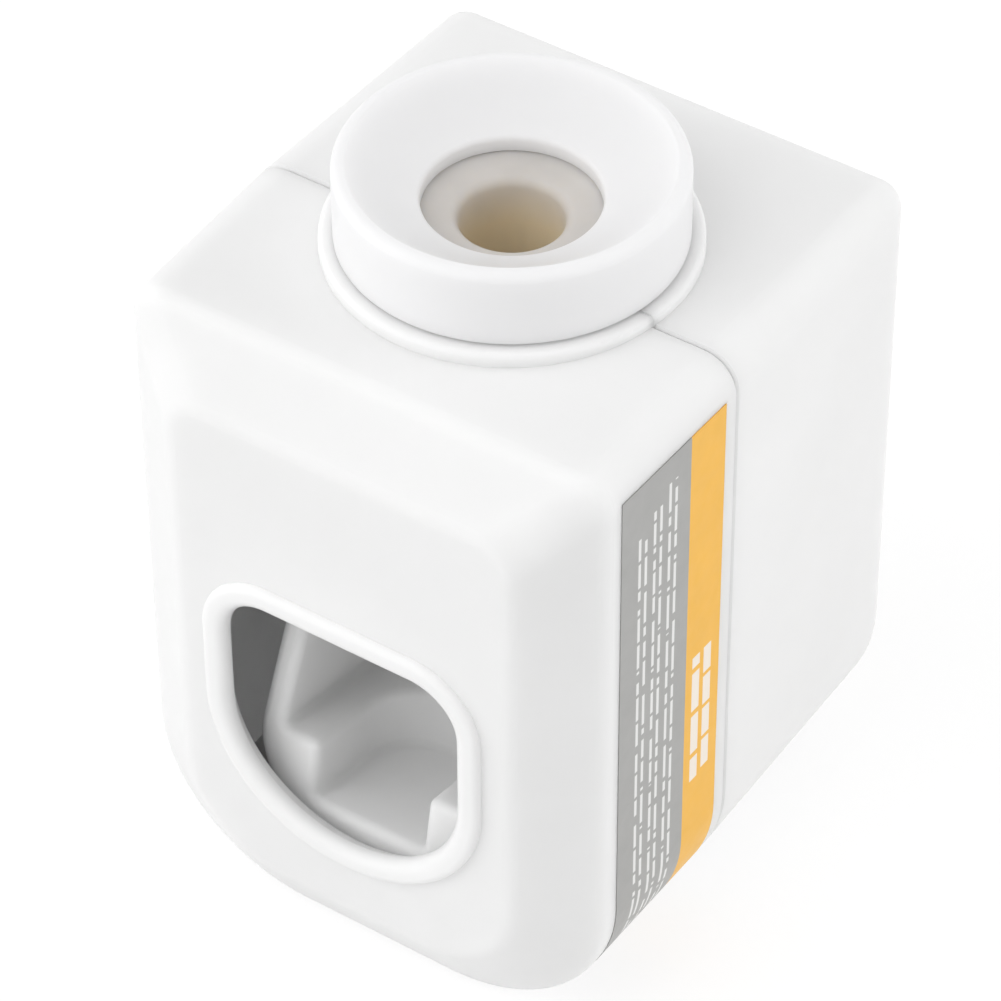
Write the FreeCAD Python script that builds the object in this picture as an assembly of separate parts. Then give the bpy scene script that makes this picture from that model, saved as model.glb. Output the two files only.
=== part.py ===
import FreeCAD, Part
import math
import os
from FreeCAD import Vector

# Toothpaste dispenser: two moulded covers, a lift-off funnel ring, and a swinging brush
# cradle that squeezes a soft pump chamber. Millimetres, +Z up, the window faces -Y.

# Body
body_width = 65.0
body_depth = 70.0
body_height = 89.0
wall = 2.2
split_from_front = 31.1
front_draft_deg = 1.4
rear_draft_deg = 1.6
top_corner_radius = 4.5
bottom_corner_radius = 22.0
rear_edge_radius = 3.2
parting_chamfer = 0.3
parting_gap = 0.1

# Chamfered frame round the front face
chamfer_depth = 6.1
chamfer_inset_side = 8.9
chamfer_inset_top = 8.9
chamfer_inset_bottom = 9.9
face_top_radius = 5.0
face_bottom_radius = 13.0
chamfer_edge_radius = 2.2
face_edge_radius = 3.4

# Brush window in the front face, and its rim
window_share = 0.49077
window_top_share = 0.60225
window_low_share = 0.23708
window_top_radius = 6.0
rim_width = 3.3
rim_proud = 1.0
rim_edge_radius = 0.9
rim_roll = 1.4
rim_land = 0.2
rim_flare = 1.3

# Neck on top of the covers, with the bead round its foot
neck_radius = 18.2
neck_wall = 2.6
neck_height = 5.4
bead_radius = 21.8
bead_height = 1.3
bead_round = 0.6

# Lift-off ring
ring_radius = 20.15
ring_rise = 11.2
ring_wall = 1.65
ring_skirt_gap = 0.35
ring_rim_width = 1.6
ring_rim_round = 1.15
ring_inner_round = 0.35
ring_hole_radius = 10.3
ring_hole_round = 0.7
ring_dish_depth = 5.1
ring_dish_sag = 0.35
ring_lip = 1.8
ring_seat_gap = 0.25

# Soft seal for the tube's neck
seal_bore_radius = 6.05
seal_mouth_drop = 0.5
seal_mouth_round = 1.6
seal_mouth_height = 1.5
seal_wall = 2.1
seal_height = 14.0
seal_foot = 1.6
seal_side_gap = 0.3
pump_flange_radius = 12.5

# Pump chamber and its valves
valve_plate = 1.6
valve_port_radius = 1.6
valve_port_count = 6
valve_port_circle = 5.4
valve_stem_radius = 1.1
flap_radius = 7.2
flap_thickness = 0.8
bulb_radius = 9.4
bulb_wall = 1.7
bulb_flange = 1.8
bulb_neck_radius = 5.2
bulb_neck_length = 4.6
bulb_cone = 6.0

# Outlet
spout_radius = 4.1
spout_bore = 2.3
spout_flange_radius = 7.0
spout_flange = 1.6
spout_barb_radius = 3.45
spout_lean_deg = 50.0
spout_drop = 4.6
spout_reach = 8.0
clamp_width = 2.6
clamp_wall = 1.2
duckbill_length = 6.0
duckbill_wall = 1.0
duckbill_tip = 2.0
duckbill_root = 3.0

# Frame that carries pivot, pump and springs
frame_wall = 2.2
frame_plate_lip = 0.9
frame_hole_gap = 0.7
anvil_gap = 0.3
ear_gap = 0.4
shelf_half_width = 9.5
shelf_front_overlap = 0.6
frame_skirt = 2.0
shelf_over_ledge = 18.1
tie_radius = 2.0
tie_gap = 0.2
tie_drop = 7.0
ear_boss_radius = 4.6
lug_radius = 3.4
lug_offset = 4.6
lug_column_gap = 2.8
lug_low_share = 0.29268

# Brush lever
pivot_depth_share = 0.27857
pivot_drop = 3.0
lever_rest_deg = 11.0
lever_front_gap = 3.3
ledge_rise = 7.4
slot_half_width = 7.8
slot_depth = 7.8
slot_length = 18.8
cheek_overlap = 0.3
cheek_wall = 3.2
cheek_lean = 2.4
cheek_lean_height = 19.0
cradle_floor = 4.1
cradle_depth = 22.8
cradle_back_wall = 3.2
cradle_back_height = 6.4
cradle_corner_radius = 11.0
cheek_bend_radius = 30.0
slot_edge_round = 1.2
slot_corner_round = 1.0
mouth_round = 1.2
arm_depth = 8.6
arm_boss_radius = 4.3
arm_boss_proud = 0.3
web_thickness = 3.0
web_over_nose = 4.5
web_under_nose = 12.5
nose_height_share = 0.20455
nose_radius = 3.0
nose_gap = 0.4
nose_side_gap = 2.4
cheek_hollow_share = 0.62

# Pivot pin and clips
pin_radius = 1.5
pin_running_gap = 0.05
pin_overhang = 2.2
pin_end_gap = 1.0
clip_radius = 3.0
clip_thickness = 0.8

# Return springs
spring_mean_radius = 1.75
spring_wire = 0.6
spring_turns = 9
spring_drop_share = 0.8142
spring_seat_gap = 0.15
spring_peg_gap = 0.25
spring_peg_length = 2.4

# Screws, bosses and the hanging keyholes
screw_shank_radius = 1.5
screw_head_radius = 2.75
screw_head_height = 2.0
screw_length = 10.0
screw_clearance = 0.25
screw_seat = 3.0
column_wall = 1.5
column_bore_gap = 0.25
column_top_drop = 9.0
column_low_share = 0.6
column_low_z = 13.0
boss_wall = 2.2
frame_screw_radius = 1.2
frame_screw_head_radius = 2.2
frame_screw_head_height = 1.6
frame_screw_length = 8.0
keyhole_spacing = 30.0
keyhole_radius = 4.0
keyhole_slot_radius = 2.1
keyhole_rise = 7.0
keyhole_height_share = 0.7191

# Label on the right side of the front cover
label_front_from_split = 22.5
label_rear_from_split = 2.2
label_top_drop = 4.2
label_low = 4.4
label_recess = 0.15
label_proud = 0.05
label_margin = 0.1

# How far cutting shapes run past what they cut, and how near counts as the same place
overrun = 5.0
nearness = 0.01

# Places worked out from the sizes above
half_width = body_width / 2
rim_front_y = -(body_depth + rim_proud) / 2
front_y = rim_front_y + rim_proud
rear_y = front_y + body_depth
split_y = front_y + split_from_front
chamfer_y = front_y + chamfer_depth
neck_y = (front_y + rear_y) / 2
window_width = body_width * window_share
window_top = body_height * window_top_share
window_bottom = body_height * window_low_share
keyhole_height = body_height * keyhole_height_share
front_draft = math.tan(math.radians(front_draft_deg))
rear_draft = math.tan(math.radians(rear_draft_deg))
face_bend = math.atan2(chamfer_depth, chamfer_inset_side)
side_bend = math.pi / 2 - face_bend
neck_bore = neck_radius - neck_wall
neck_top = body_height + neck_height
ring_top = body_height + ring_rise
ring_bottom = body_height + bead_height + ring_skirt_gap
ring_bore = ring_radius - ring_wall
ring_rim_inner = ring_radius - ring_rim_width
ring_hole_top = ring_top - ring_dish_depth
ring_hole_bottom = ring_hole_top - ring_lip
dish_slope = ring_dish_depth / (ring_rim_inner - ring_hole_radius)
seal_bottom = neck_top - seal_height
valve_bottom = seal_bottom - valve_plate
bulb_top = valve_bottom - bulb_flange
shelf_bottom = window_bottom + ledge_rise + shelf_over_ledge
shelf_top = shelf_bottom + frame_wall
bulb_bottom = shelf_top + spout_flange + bulb_neck_length
bulb_length = bulb_top - bulb_bottom
anvil_y = neck_y + bulb_radius + anvil_gap
frame_back_y = anvil_y + frame_wall
pivot_y = front_y + body_depth * pivot_depth_share
pivot_z = bulb_top - pivot_drop
cheek_half_width = window_width / 2 + cheek_overlap
cheek_inner = cheek_half_width - cheek_wall
arm_half_width = cheek_half_width - cheek_lean
arm_inner = arm_half_width - cheek_wall
ear_inner = arm_half_width + arm_boss_proud + ear_gap
ear_outer = ear_inner + frame_wall
boss_radius = screw_shank_radius + boss_wall
column_top_x = ear_outer + pin_overhang + pin_end_gap + boss_radius
column_top_z = body_height - column_top_drop
column_bore = screw_head_radius + column_bore_gap
column_radius = column_bore + column_wall
lug_high_z = column_top_z - column_radius - lug_column_gap - lug_radius
lug_low_z = shelf_top + (lug_high_z - shelf_top) * lug_low_share
rest_sin = math.sin(math.radians(lever_rest_deg))
rest_cos = math.cos(math.radians(lever_rest_deg))


def level_from_rest(y, z):
    """Turn a place on the resting lever into the lever's own level frame about the pivot."""
    back = y - pivot_y
    up = z - pivot_z
    return back * rest_cos - up * rest_sin, back * rest_sin + up * rest_cos


def rest_from_level(back, up):
    """Turn a place in the lever's level frame into the body's frame, lever at rest."""
    return pivot_y + back * rest_cos + up * rest_sin, pivot_z - back * rest_sin + up * rest_cos


ledge_front_y = front_y + wall + lever_front_gap
cradle_front, ledge_level = level_from_rest(ledge_front_y, window_bottom + ledge_rise)
floor_level = ledge_level - slot_depth
cradle_bottom = floor_level - cradle_floor
cradle_back = cradle_front + cradle_depth
spring_drop = -(ledge_level + cheek_lean_height + arm_depth) * spring_drop_share
nose_drop = pivot_z - bulb_bottom - bulb_length * nose_height_share
nose_rest_y = neck_y - bulb_radius - nose_gap
nose_back = (nose_rest_y - pivot_y + nose_drop * rest_sin) / rest_cos


# General helpers


def box(x_low, x_high, y_low, y_high, z_low, z_high):
    corner = Vector(x_low, y_low, z_low)
    return Part.makeBox(x_high - x_low, y_high - y_low, z_high - z_low, corner)


def cylinder(radius, start, end):
    along = end - start
    return Part.makeCylinder(radius, along.Length, start, along)


def rod_x(radius, x_low, x_high, y, z):
    return cylinder(radius, Vector(x_low, y, z), Vector(x_high, y, z))


def rod_y(radius, x, y_low, y_high, z):
    return cylinder(radius, Vector(x, y_low, z), Vector(x, y_high, z))


def rod_z(radius, x, y, z_low, z_high):
    return cylinder(radius, Vector(x, y, z_low), Vector(x, y, z_high))


def outline_face(points):
    return Part.Face(Part.makePolygon(points + points[:1]))


def line(start, end):
    return Part.LineSegment(start, end).toShape()


def arc_about(centre, start, end, bulge):
    """Arc of a circle round centre, from start to end, passing on the side that bulge points to."""
    middle = centre + bulge.normalize() * (start - centre).Length
    return Part.Arc(start, middle, end).toShape()


def turned_on_neck(edges):
    """Solid of revolution about the neck's axis from a closed profile in the XZ plane."""
    face = Part.Face(Part.Wire(edges))
    return face.revolve(Vector(0, neck_y, 0), Vector(0, 0, 1), 360)


def neck_point(radius, z):
    return Vector(radius, neck_y, z)


def turned_polygon(pairs):
    points = [neck_point(radius, z) for radius, z in pairs]
    return turned_on_neck([line(a, b) for a, b in zip(points, points[1:] + points[:1])])


def turned_tube(inner, outer, low, high):
    return turned_polygon([(inner, low), (outer, low), (outer, high), (inner, high)])


def edges_where(shape, test):
    return [edge for edge in shape.Edges if all(test(vertex.Point) for vertex in edge.Vertexes)]


def circles_at(shape, radius, z):
    """Circular edges about the neck's axis with this radius at this height."""
    found = []
    for edge in shape.Edges:
        curve = edge.Curve
        if curve.TypeId != "Part::GeomCircle":
            continue
        if abs(curve.Radius - radius) < nearness and abs(curve.Center.z - z) < nearness:
            found.append(edge)
    return found


def fused(shapes):
    return shapes[0].multiFuse(shapes[1:]).removeSplitter()


def mirrored(shape):
    return shape.mirror(Vector(0, 0, 0), Vector(1, 0, 0))


def both_sides(shape):
    return [shape, mirrored(shape)]


def save(name, solids):
    shape = solids[0] if len(solids) == 1 else Part.makeCompound(solids)
    shape.exportStep("parts/" + name + ".step")


# Outlines of the body


def rounded_outline(y, half, bottom, top, bottom_radius, top_radius):
    """Closed outline in a plane of constant y: straight sides with rounded corners."""
    corner_share = math.sqrt(2) / 2

    def corner(x_sign, centre_z, radius, z_sign, first_is_side):
        centre = Vector(x_sign * (half - radius), y, centre_z)
        side = centre + Vector(x_sign * radius, 0, 0)
        end = centre + Vector(0, 0, z_sign * radius)
        bulge = Vector(x_sign * corner_share, 0, z_sign * corner_share)
        ends = (side, end) if first_is_side else (end, side)
        return arc_about(centre, ends[0], ends[1], bulge)

    low = bottom + bottom_radius
    high = top - top_radius
    arcs = [
        corner(1, low, bottom_radius, -1, False),
        corner(1, high, top_radius, 1, True),
        corner(-1, high, top_radius, 1, False),
        corner(-1, low, bottom_radius, -1, True),
    ]
    edges = []
    for before, after in zip(arcs[-1:] + arcs[:-1], arcs):
        start = before.lastVertex(True).Point
        end = after.firstVertex(True).Point
        if (end - start).Length > parting_gap:
            edges.append(line(start, end))
        edges.append(after)
    return Part.Wire(edges)


def body_outline(y, grow, draft, pull_in):
    """Body outline at depth y, drawn in from the parting line by the draft."""
    shrink = draft * abs(y - split_y) + pull_in
    return rounded_outline(
        y,
        half_width - shrink + grow,
        -grow + pull_in,
        body_height - shrink + grow,
        bottom_corner_radius - shrink + grow,
        top_corner_radius - shrink + grow,
    )


def face_outline(grow):
    """Outline of the flat front face, inside the chamfered frame."""
    shift = grow * math.tan(face_bend / 2)
    shrink = front_draft * (split_y - chamfer_y)
    return rounded_outline(
        front_y - grow,
        half_width - shrink - chamfer_inset_side + shift,
        chamfer_inset_bottom - shift,
        body_height - shrink - chamfer_inset_top + shift,
        face_bottom_radius + shift,
        face_top_radius + shift,
    )


def front_form(grow, end_y, lip):
    """Front half of the body, grown outwards or, for the hollow, inwards."""
    outer_y = chamfer_y - grow * math.tan(side_bend / 2)
    sections = [face_outline(grow), body_outline(outer_y, grow, front_draft, 0)]
    if lip:
        sections.append(body_outline(end_y - lip, grow, front_draft, 0))
    sections.append(body_outline(end_y, grow, front_draft, lip))
    return Part.makeLoft(sections, True, True)


def rear_form(grow, start_y, lip):
    """Rear half of the body, from the parting line to the back."""
    sections = [body_outline(start_y, grow, rear_draft, lip)]
    if lip:
        sections.append(body_outline(start_y + lip, grow, rear_draft, 0))
    sections.append(body_outline(rear_y + grow, grow, rear_draft, 0))
    return Part.makeLoft(sections, True, True)


def in_plane_y(y):
    return lambda point: abs(point.y - y) < nearness


def window_outline(y, grow):
    """D-shaped window: rounded top corners, half-round bottom."""
    half = window_width / 2 + grow
    low = window_bottom - grow
    high = window_top + grow
    return rounded_outline(y, half, low, high, half, window_top_radius + grow)


def window_prism(grow, y_low, y_high):
    return Part.Face(window_outline(y_low, grow)).extrude(Vector(0, y_high - y_low, 0))


def make_window_rim():
    """Proud rim that rolls over into the window and flares open behind."""
    back_y = front_y + wall
    rim = window_prism(rim_width, rim_front_y, back_y)
    rim = rim.makeFillet(rim_edge_radius, edges_where(rim, in_plane_y(rim_front_y)))
    flare_y = rim_front_y + rim_roll + rim_land
    flare = Part.makeLoft([window_outline(flare_y, 0), window_outline(back_y, rim_flare)], True, True)
    rim = rim.cut([window_prism(0, rim_front_y - overrun, back_y + overrun), flare])

    def on_window_edge(point):
        inside_x = abs(point.x) < window_width / 2 + nearness
        inside_z = window_bottom - nearness < point.z < window_top + nearness
        return inside_x and inside_z and abs(point.y - rim_front_y) < nearness

    return rim.makeFillet(rim_roll, edges_where(rim, on_window_edge))


def neck_and_bead():
    """Neck that the ring sleeves over, with the bead round its foot, before it is halved."""
    base = body_height - wall
    neck = turned_tube(neck_bore, neck_radius, base, neck_top)
    bead_top = body_height + bead_height
    bead = turned_tube(neck_bore, bead_radius, base, bead_top)
    bead = bead.makeFillet(bead_round, circles_at(bead, bead_radius, bead_top))
    return neck.fuse(bead)


def column_places():
    """Centres of the four posts that take the cover screws, as x and z."""
    high = (column_top_x, column_top_z)
    low = (half_width * column_low_share, column_low_z)
    return [(sign * x, z) for x, z in (high, low) for sign in (-1, 1)]


def lug_places():
    """Centres of the four frame screws, as x and z."""
    x = ear_outer + lug_offset
    return [(sign * x, z) for z in (lug_low_z, lug_high_z) for sign in (-1, 1)]


def label_form(grow_low, grow_high, margin):
    """Shell over the right side of the front cover, where the label lies."""
    y_low = split_y - label_front_from_split + margin
    y_high = split_y - label_rear_from_split - margin
    z_low = label_low + margin
    z_high = body_height - label_top_drop - margin
    shell = front_form(grow_high, split_y, 0).cut(front_form(grow_low, split_y, 0))
    return shell.common(box(0, body_width, y_low, y_high, z_low, z_high))


# Covers


def make_front_cover():
    end_y = split_y - parting_gap / 2
    outer = front_form(0, end_y, parting_chamfer)
    outer = outer.makeFillet(chamfer_edge_radius, edges_where(outer, in_plane_y(chamfer_y)))
    outer = outer.makeFillet(face_edge_radius, edges_where(outer, in_plane_y(front_y)))
    front_half = box(-body_width, body_width, front_y, end_y, 0, ring_top)
    window = window_prism(rim_width / 2, rim_front_y - overrun, front_y + wall + overrun)
    shell = outer.cut([front_form(-wall, split_y + overrun, 0), window])
    shell = shell.fuse([make_window_rim(), neck_and_bead().common(front_half)])
    bosses = [rod_y(boss_radius, x, front_y, end_y, z).common(outer) for x, z in column_places()]
    shell = shell.fuse(bosses)
    cuts = [rod_z(neck_bore, 0, neck_y, body_height - wall - overrun, ring_top)]
    screw_end = end_y + screw_seat - screw_length
    cuts += [rod_y(screw_shank_radius, x, screw_end, split_y + overrun, z) for x, z in column_places()]
    cuts.append(label_form(-label_recess, overrun, 0))
    return shell.cut(cuts).removeSplitter()


def make_rear_cover():
    start_y = split_y + parting_gap / 2
    outer = rear_form(0, start_y, parting_chamfer)
    outer = outer.makeFillet(rear_edge_radius, edges_where(outer, in_plane_y(rear_y)))
    shell = outer.cut(rear_form(-wall, split_y - overrun, 0))
    rear_half = box(-body_width, body_width, start_y, rear_y, 0, ring_top)
    adds = [neck_and_bead().common(rear_half)]
    seat_y = start_y + screw_seat
    for x, z in column_places():
        adds.append(rod_y(column_radius, x, start_y, rear_y, z).common(outer))
    for x, z in lug_places():
        adds.append(rod_y(lug_radius, x, frame_back_y, rear_y, z).common(outer))
    shell = shell.fuse(adds)
    cuts = [rod_z(neck_bore, 0, neck_y, body_height - wall - overrun, ring_top)]
    for x, z in column_places():
        cuts.append(rod_y(column_bore, x, seat_y, rear_y + overrun, z))
        cuts.append(rod_y(screw_shank_radius + screw_clearance, x, start_y - overrun, seat_y, z))
    for x, z in lug_places():
        cuts.append(rod_y(frame_screw_radius, x, frame_back_y, frame_back_y + frame_screw_length, z))
    low_y = rear_y - wall - overrun
    high_y = rear_y + overrun
    slot_top = keyhole_height + keyhole_rise
    for sign in (-1, 1):
        x = sign * keyhole_spacing / 2
        x_low = x - keyhole_slot_radius
        x_high = x + keyhole_slot_radius
        cuts.append(rod_y(keyhole_radius, x, low_y, high_y, keyhole_height))
        cuts.append(rod_y(keyhole_slot_radius, x, low_y, high_y, slot_top))
        cuts.append(box(x_low, x_high, low_y, high_y, keyhole_height, slot_top))
    return shell.cut(cuts).removeSplitter()


def make_side_label():
    return label_form(-label_recess, label_proud, label_margin)


def pan_screws(places, seat_y, facing, shank_radius, head_radius, head_height, length):
    """Plain pan-head screws along Y. Each head lies on the seat, on the side that facing points to."""
    screws = []
    rim_y = seat_y + facing * head_height
    for x, z in places:
        shank = rod_y(shank_radius, x, seat_y, seat_y - facing * length, z)
        head = rod_y(head_radius, x, seat_y, rim_y, z)
        head = head.makeFillet(head_height / 2, edges_where(head, in_plane_y(rim_y)))
        screws.append(shank.fuse(head).removeSplitter())
    return screws


def make_cover_screws():
    seat_y = split_y + parting_gap / 2 + screw_seat
    sizes = (screw_shank_radius, screw_head_radius, screw_head_height, screw_length)
    return pan_screws(column_places(), seat_y, 1, *sizes)


# Ring, seal and pump


def make_top_ring():
    rim_outer = neck_point(ring_radius, ring_top)
    rim_inner = neck_point(ring_rim_inner, ring_top)
    hole_top = neck_point(ring_hole_radius, ring_hole_top)
    hole_bottom = neck_point(ring_hole_radius, ring_hole_bottom)
    under = neck_point(ring_bore, ring_hole_bottom + dish_slope * (ring_bore - ring_hole_radius))
    skirt_in = neck_point(ring_bore, ring_bottom)
    skirt_out = neck_point(ring_radius, ring_bottom)
    sag = Vector(0, 0, -ring_dish_sag)
    dish = Part.Arc(rim_inner, (rim_inner + hole_top) / 2 + sag, hole_top).toShape()
    ring = turned_on_neck([
        line(skirt_out, rim_outer), line(rim_outer, rim_inner), dish, line(hole_top, hole_bottom),
        line(hole_bottom, under), line(under, skirt_in), line(skirt_in, skirt_out),
    ])
    rounds = [
        (ring_rim_round, ring_radius, ring_top), (ring_inner_round, ring_rim_inner, ring_top),
        (ring_hole_round, ring_hole_radius, ring_hole_top),
    ]
    for size, radius, z in rounds:
        ring = ring.makeFillet(size, circles_at(ring, radius, z))
    return ring


def make_tube_seal():
    flange_radius = neck_radius - seal_side_gap / 2
    under_ring = ring_hole_bottom - ring_seat_gap
    mouth_edge = neck_point(ring_hole_radius, under_ring)
    flange_top = neck_point(flange_radius, under_ring + dish_slope * (flange_radius - ring_hole_radius))
    flange_low = neck_point(flange_radius, neck_top)
    body_low = neck_point(neck_bore - seal_side_gap, neck_top)
    throat = seal_bore_radius + seal_wall
    foot_top = seal_bottom + seal_foot
    mouth_z = under_ring - seal_mouth_drop
    round_start = neck_point(seal_bore_radius + seal_mouth_round, mouth_z)
    round_end = neck_point(seal_bore_radius, mouth_z - seal_mouth_height)
    bulge_share = 1 - math.sqrt(2) / 2
    round_mid = neck_point(seal_bore_radius + seal_mouth_round * bulge_share,
                           mouth_z - seal_mouth_height * bulge_share)
    path = [
        mouth_edge, flange_top, flange_low, body_low,
        neck_point(throat, neck_top - seal_wall - seal_mouth_height),
        neck_point(throat, foot_top), neck_point(pump_flange_radius, foot_top),
        neck_point(pump_flange_radius, seal_bottom), neck_point(seal_bore_radius, seal_bottom), round_end,
    ]
    edges = [line(a, b) for a, b in zip(path, path[1:])]
    edges += [Part.Arc(round_end, round_mid, round_start).toShape(), line(round_start, mouth_edge)]
    return turned_on_neck(edges)


def make_inlet_valve_plate():
    plate = rod_z(pump_flange_radius, 0, neck_y, valve_bottom, seal_bottom)
    cuts = [rod_z(valve_stem_radius, 0, neck_y, valve_bottom - overrun, seal_bottom + overrun)]
    for index in range(valve_port_count):
        angle = 2 * math.pi * index / valve_port_count
        x = valve_port_circle * math.cos(angle)
        y = neck_y + valve_port_circle * math.sin(angle)
        cuts.append(rod_z(valve_port_radius, x, y, valve_bottom - overrun, seal_bottom + overrun))
    return plate.cut(cuts)


def make_inlet_flap():
    disc = rod_z(flap_radius, 0, neck_y, valve_bottom - flap_thickness, valve_bottom)
    stem = rod_z(valve_stem_radius, 0, neck_y, valve_bottom - flap_thickness, seal_bottom)
    return disc.fuse(stem).removeSplitter()


def make_pump_bulb():
    """Soft chamber: flange at the top, straight swollen body, cone and neck at the bottom."""
    cone_bottom = bulb_bottom
    cone_top = bulb_bottom + bulb_cone
    neck_low = bulb_bottom - bulb_neck_length
    inner = bulb_radius - bulb_wall
    return turned_polygon([
        (inner, valve_bottom), (pump_flange_radius, valve_bottom), (pump_flange_radius, bulb_top),
        (bulb_radius, bulb_top), (bulb_radius, cone_top), (bulb_neck_radius, cone_bottom),
        (bulb_neck_radius, neck_low), (spout_barb_radius, neck_low), (spout_barb_radius, cone_bottom),
        (inner, cone_top),
    ])


def spout_places():
    """Bend and mouth of the spout, and the way that it points."""
    lean = math.radians(spout_lean_deg)
    way = Vector(0, -math.sin(lean), -math.cos(lean))
    bend = Vector(0, neck_y, shelf_bottom - spout_drop + spout_radius / 2)
    return bend, bend + way * spout_reach, way


def make_outlet_spout():
    bend, mouth, way = spout_places()
    barb_top = bulb_bottom - spout_flange / 2
    solid = fused([
        rod_z(spout_barb_radius, 0, neck_y, shelf_top, barb_top),
        rod_z(spout_flange_radius, 0, neck_y, shelf_top, shelf_top + spout_flange),
        cylinder(spout_radius, bend, neck_at(shelf_top)),
        Part.makeSphere(spout_radius, bend),
        cylinder(spout_radius, bend, mouth),
    ])
    bore = [cylinder(spout_bore, bend, neck_at(barb_top + overrun)), Part.makeSphere(spout_bore, bend),
            cylinder(spout_bore, bend, mouth + way * overrun)]
    return solid.cut(bore)


def neck_at(z):
    return Vector(0, neck_y, z)


def make_bulb_clamp():
    low = bulb_bottom - bulb_neck_length + (bulb_neck_length - clamp_width) / 2
    high = low + clamp_width
    return turned_tube(bulb_neck_radius, bulb_neck_radius + clamp_wall, low, high)


def make_outlet_valve():
    """Duckbill: a sleeve on the spout's end that narrows to two flat lips."""
    bend, mouth, way = spout_places()
    outer = spout_radius + duckbill_wall
    across = Vector(1, 0, 0)
    normal = way.cross(across)
    tip = mouth + way * duckbill_length

    def ring_wire(centre, half_across, half_thick):
        corners = [(1, 0), (0, 1), (-1, 0), (0, -1)]
        share = math.sqrt(2) / 2

        def rim_point(a, b):
            return centre + across * (a * half_across) + normal * (b * half_thick)

        arcs = []
        for (a, b), (c, d) in zip(corners, corners[1:] + corners[:1]):
            middle = rim_point((a + c) * share, (b + d) * share)
            arcs.append(Part.Arc(rim_point(a, b), middle, rim_point(c, d)).toShape())
        return Part.Wire(arcs)

    root_wire = ring_wire(mouth, outer, outer)
    tip_wire = ring_wire(tip, outer, duckbill_tip / 2)
    bill = Part.makeLoft([root_wire, tip_wire], True, True)
    sleeve = cylinder(outer, mouth - way * duckbill_root, mouth)
    solid = bill.fuse(sleeve).removeSplitter()
    bore = cylinder(spout_bore, mouth - way * overrun, mouth + way * duckbill_length / 2)
    socket = cylinder(spout_radius, mouth - way * (duckbill_root + overrun), mouth)
    return solid.cut([bore, socket])


# Frame, pin and springs


def tie_place():
    return rest_from_level(cradle_front - tie_gap - tie_radius, -tie_drop)


def make_pump_frame():
    tie_y, tie_z = tie_place()
    top = bulb_top
    ear_low = shelf_bottom - frame_skirt
    ear_outline = outline_face([
        Vector(ear_inner, frame_back_y, ear_low),
        Vector(ear_inner, anvil_y - frame_wall, ear_low),
        Vector(ear_inner, pivot_y, tie_z - ear_boss_radius),
        Vector(ear_inner, tie_y, tie_z - ear_boss_radius),
        Vector(ear_inner, tie_y - ear_boss_radius, tie_z),
        Vector(ear_inner, pivot_y - ear_boss_radius, pivot_z + ear_boss_radius),
        Vector(ear_inner, pivot_y + ear_boss_radius, pivot_z + ear_boss_radius),
        Vector(ear_inner, neck_y, top),
        Vector(ear_inner, frame_back_y, top),
    ])
    ears = both_sides(ear_outline.extrude(Vector(frame_wall, 0, 0)))
    back_plate = box(-ear_outer, ear_outer, anvil_y, frame_back_y, ear_low, top)
    plate_radius = pump_flange_radius + frame_plate_lip
    top_plate = rod_z(plate_radius, 0, neck_y, top - frame_wall, top)
    top_bridge = box(-ear_outer, ear_outer, neck_y, frame_back_y, top - frame_wall, top)
    shelf_front = neck_y - spout_flange_radius - shelf_front_overlap
    shelf = box(-shelf_half_width, shelf_half_width, shelf_front, frame_back_y, shelf_bottom, shelf_top)
    tie = rod_x(tie_radius, -ear_outer, ear_outer, tie_y, tie_z)
    adds = ears + [back_plate, top_plate, top_bridge, shelf, tie]
    for x, z in lug_places():
        adds.append(rod_y(lug_radius, x, anvil_y, frame_back_y, z))
        inner = math.copysign(ear_inner, x)
        x_low, x_high = sorted((inner, x))
        adds.append(box(x_low, x_high, anvil_y, frame_back_y, z - lug_radius, z + lug_radius))
    peg_radius = spring_mean_radius - spring_wire / 2 - spring_peg_gap
    spring_x, spring_z = spring_line()
    pegs = both_sides(rod_y(peg_radius, spring_x, anvil_y - spring_peg_length, anvil_y, spring_z))
    cuts = [
        rod_z(bulb_radius + frame_hole_gap, 0, neck_y, top - frame_wall - overrun, top + overrun),
        rod_z(spout_radius, 0, neck_y, shelf_bottom - overrun, shelf_top + overrun),
        rod_x(pin_radius, -ear_outer - overrun, ear_outer + overrun, pivot_y, pivot_z),
    ]
    for x, z in lug_places():
        hole_radius = frame_screw_radius + screw_clearance
        cuts.append(rod_y(hole_radius, x, anvil_y - overrun, frame_back_y + overrun, z))
    return fused(adds + pegs).cut(cuts)


def make_frame_screws():
    sizes = (frame_screw_radius, frame_screw_head_radius, frame_screw_head_height, frame_screw_length)
    return pan_screws(lug_places(), anvil_y, -1, *sizes)


def make_pivot_pin():
    reach = ear_outer + pin_overhang
    return rod_x(pin_radius, -reach, reach, pivot_y, pivot_z)


def make_pin_clips():
    clip = rod_x(clip_radius, ear_outer, ear_outer + clip_thickness, pivot_y, pivot_z)
    clip = clip.cut(rod_x(pin_radius, ear_outer - overrun, ear_outer + overrun, pivot_y, pivot_z))
    return both_sides(clip)


def spring_line():
    """Where the right return spring's axis runs, as x and z."""
    seat_y, seat_z = rest_from_level(cradle_front + arm_depth, -spring_drop)
    return arm_half_width - cheek_wall / 2, seat_z


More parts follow.
